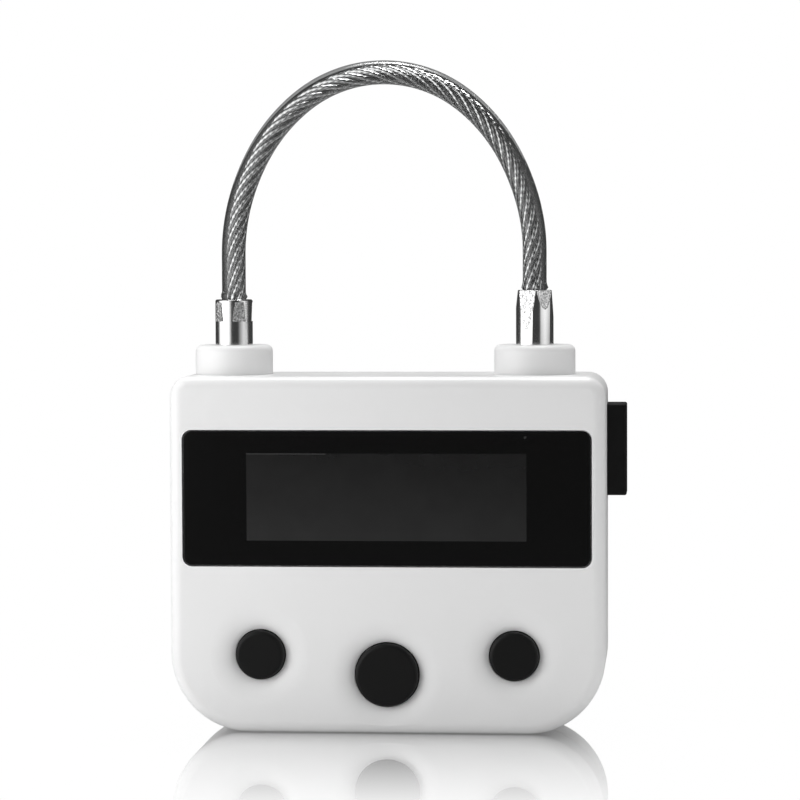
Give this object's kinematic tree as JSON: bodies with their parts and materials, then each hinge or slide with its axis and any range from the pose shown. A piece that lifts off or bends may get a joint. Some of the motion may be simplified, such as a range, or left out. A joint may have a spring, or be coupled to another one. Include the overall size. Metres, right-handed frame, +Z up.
{
  "type": "timed cable padlock",
  "caption": "Timed padlock: a rounded white case with a wide display window and round buttons on its face, and a steel cable shackle in a clear sheath.",
  "frame": {"origin": "middle of the flat base, in the plane where the two halves of the case meet", "axes": "+X to the right seen from the front, +Y to the back, +Z up; the face with the display looks along -Y"},
  "size_m": [0.068, 0.0203, 0.1005],
  "materials": {
    "case_white": "fine satin moulded ABS",
    "collar_white": "satin moulded ABS",
    "window_black": "polished smoked acrylic, black at the back",
    "display_glass": "unlit grey liquid-crystal glass",
    "light_plate": "milky diffuser",
    "contact_rubber": "zebra contact strip",
    "button_black": "finely textured matt black",
    "switch_black": "moulded",
    "board_green": "solder mask",
    "chip_black": "moulded epoxy",
    "ferrule_chrome": "bright plated steel, crimped",
    "rope_steel": "bright drawn wire",
    "sheath_clear": "clear soft vinyl",
    "steel": "zinc plated",
    "brass": "turned",
    "guide_plastic": "natural acetal",
    "plug_rubber": "matt soft rubber",
    "pouch_foil": "battery pouch foil",
    "tape_foam": "foam tape"
  },
  "bodies": {
    "root": {"front_shell": "case_white", "rear_shell": "case_white", "display_window": "window_black", "lcd_glass": "display_glass", "lcd_backlight": "light_plate", "lcd_connector": "contact_rubber", "circuit_board": "board_green", "timer_chip": "chip_black", "heel_collar": "collar_white", "toe_collar": "collar_white", "heel_ferrule": "ferrule_chrome", "heel_pin": "steel", "toe_sleeve": "brass", "cable_sheath": "sheath_clear", "wire_rope": "rope_steel", "latch_guide": "guide_plastic", "gear_motor": "steel", "port_shell": "steel", "port_contacts": "switch_black", "charge_board": "board_green", "battery_cell": "pouch_foil", "battery_tape": "tape_foam", "case_screws": "steel", "board_screws": "steel", "left_switch": "switch_black", "middle_switch": "switch_black", "right_switch": "switch_black"},
    "shackle_toe": {"toe_ferrule": "ferrule_chrome"},
    "bolt": {"latch_bolt": "steel"},
    "bolt_drive": {"drive_pinion": "brass", "motor_shaft": "steel"},
    "left_key": {"left_button": "button_black", "left_plunger": "guide_plastic"},
    "middle_key": {"middle_button": "button_black", "middle_plunger": "guide_plastic"},
    "right_key": {"right_button": "button_black", "right_plunger": "guide_plastic"},
    "port_cover": {"port_plug": "plug_rubber"}
  },
  "joints": [
    {"name": "toe_release", "type": "slide", "parent": "root", "child": "shackle_toe", "axis": [0, 0, 1], "range_m": [0, 0.015], "deforming": ["cable_sheath", "wire_rope"]},
    {"name": "bolt_slide", "type": "slide", "parent": "root", "child": "bolt", "axis": [1, 0, 0], "range_m": [0, 0.0036]},
    {"name": "pinion_turn", "type": "hinge", "parent": "root", "child": "bolt_drive", "pos_m": [0.00908, 0.00476, 0.048], "axis": [0, 0, 1], "range_deg": [0, 86]},
    {"name": "left_press", "type": "slide", "parent": "root", "child": "left_key", "axis": [0, 1, 0], "range_m": [0, 0.0004], "stiffness_N_per_m": 400, "springref_m": -0.002},
    {"name": "middle_press", "type": "slide", "parent": "root", "child": "middle_key", "axis": [0, 1, 0], "range_m": [0, 0.0004], "stiffness_N_per_m": 400, "springref_m": -0.002},
    {"name": "right_press", "type": "slide", "parent": "root", "child": "right_key", "axis": [0, 1, 0], "range_m": [0, 0.0004], "stiffness_N_per_m": 400, "springref_m": -0.002},
    {"name": "port_cover_pull", "type": "slide", "parent": "root", "child": "port_cover", "axis": [1, 0, 0], "range_m": [0, 0.008]}
  ],
  "couplings": [
    {"joint": "pinion_turn", "follows": "bolt_slide", "rad_per_m": 416.67}
  ]
}
